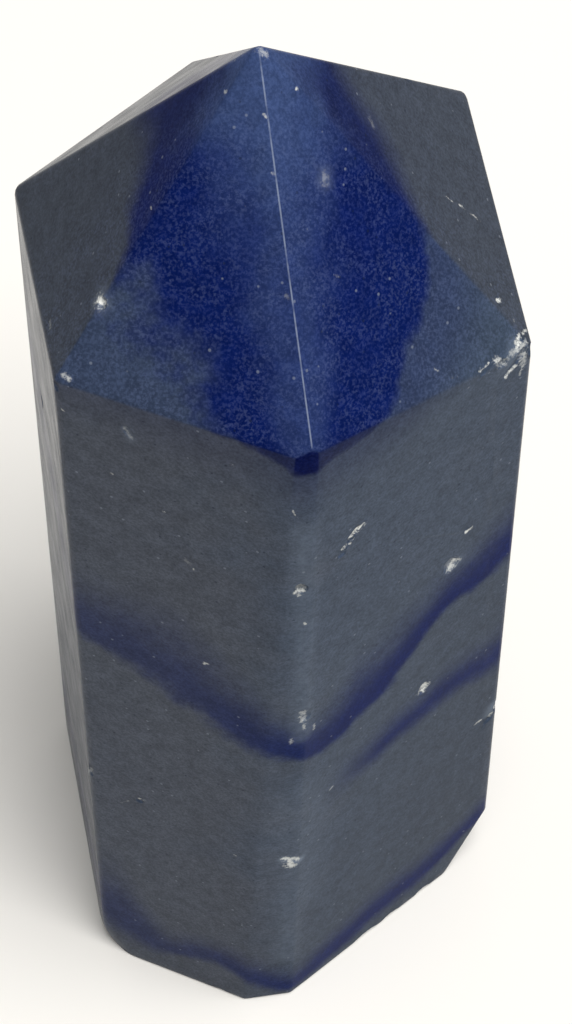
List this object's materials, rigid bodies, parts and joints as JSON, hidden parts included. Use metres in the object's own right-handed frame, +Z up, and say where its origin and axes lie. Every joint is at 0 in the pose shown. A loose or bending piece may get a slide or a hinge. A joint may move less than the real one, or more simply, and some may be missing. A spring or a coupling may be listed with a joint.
{
  "type": "polished dumortierite point",
  "caption": "Freestanding polished stone point: an irregular faceted prism under a faceted tip, on a flat sawn foot.",
  "frame": {"origin": "middle of the foot's bounding box, on the surface the stone stands on", "axes": "+Z up, from the sawn foot towards the tip; -Y faces the viewer of the picture, where the narrow ground flat runs down the front edge"},
  "size_m": [0.0294, 0.0302, 0.0798],
  "materials": {
    "dumortierite_quartz": "polished, slightly satin, with white bruised chips and one worn white ridge; deep blue layers in grey-blue quartz"
  },
  "bodies": {
    "root": {"dumortierite_point": "dumortierite_quartz"}
  },
  "joints": []
}
